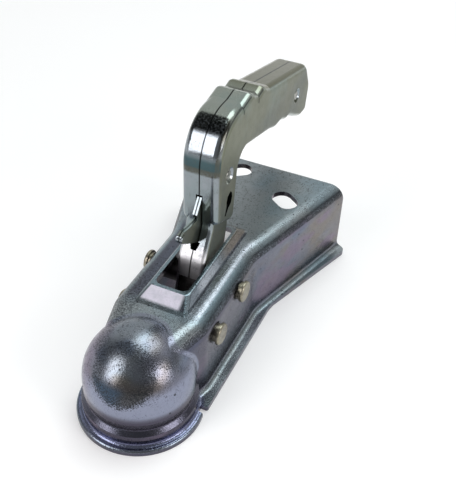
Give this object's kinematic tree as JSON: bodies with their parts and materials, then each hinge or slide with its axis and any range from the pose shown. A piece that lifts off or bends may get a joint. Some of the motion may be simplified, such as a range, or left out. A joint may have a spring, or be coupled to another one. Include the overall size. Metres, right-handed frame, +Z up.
{
  "type": "trailer coupling head",
  "caption": "Pressed steel trailer coupling head with a domed ball socket, flared channel, raised collar and a lift handle that opens the clamping jaw.",
  "frame": {"origin": "centre of the towing ball in the socket", "axes": "+X across the coupling, +Y rearward from the ball to the drawbar, +Z up"},
  "size_m": [0.112, 0.2332, 0.1304],
  "materials": {
    "plated_body": "zinc plated",
    "plated_handle": "zinc plated",
    "plated_pin": "zinc plated",
    "dark_steel": "as forged",
    "spring_steel": "bright wire"
  },
  "bodies": {
    "housing": {"coupling_body": "plated_body", "pivot_pin": "plated_pin", "jaw_pin": "plated_pin", "pivot_spacer_left": "plated_pin", "pivot_spacer_right": "plated_pin", "jaw_spacer_left": "plated_pin", "jaw_spacer_right": "plated_pin"},
    "handle": {"handle_left_shell": "plated_handle", "handle_right_shell": "plated_handle", "handle_stem_rivet": "plated_pin", "handle_tip_rivet": "plated_pin", "pivot_bush": "plated_pin", "lock_cam": "dark_steel", "cam_rivet": "plated_pin", "catch_pin": "plated_pin", "catch_spring": "spring_steel"},
    "catch": {"safety_catch": "plated_handle"},
    "jaw": {"ball_jaw": "dark_steel", "jaw_spring": "spring_steel"}
  },
  "joints": [
    {"name": "handle_lift", "type": "hinge", "parent": "housing", "child": "handle", "pos_m": [0, 0.0631, 0.0141], "axis": [1, 0, 0], "range_deg": [0, 40]},
    {"name": "jaw_open", "type": "hinge", "parent": "housing", "child": "jaw", "pos_m": [0, 0.0342, 0.0086], "axis": [1, 0, 0], "range_deg": [0, 20]},
    {"name": "catch_press", "type": "hinge", "parent": "handle", "child": "catch", "pos_m": [0, 0.076, 0.046], "axis": [1, 0, 0], "range_deg": [-10, 0], "stiffness_Nm_per_rad": 0.02, "springref_deg": 11.46}
  ],
  "couplings": [
    {"joint": "jaw_open", "follows": "handle_lift", "ratio": 0.5}
  ]
}
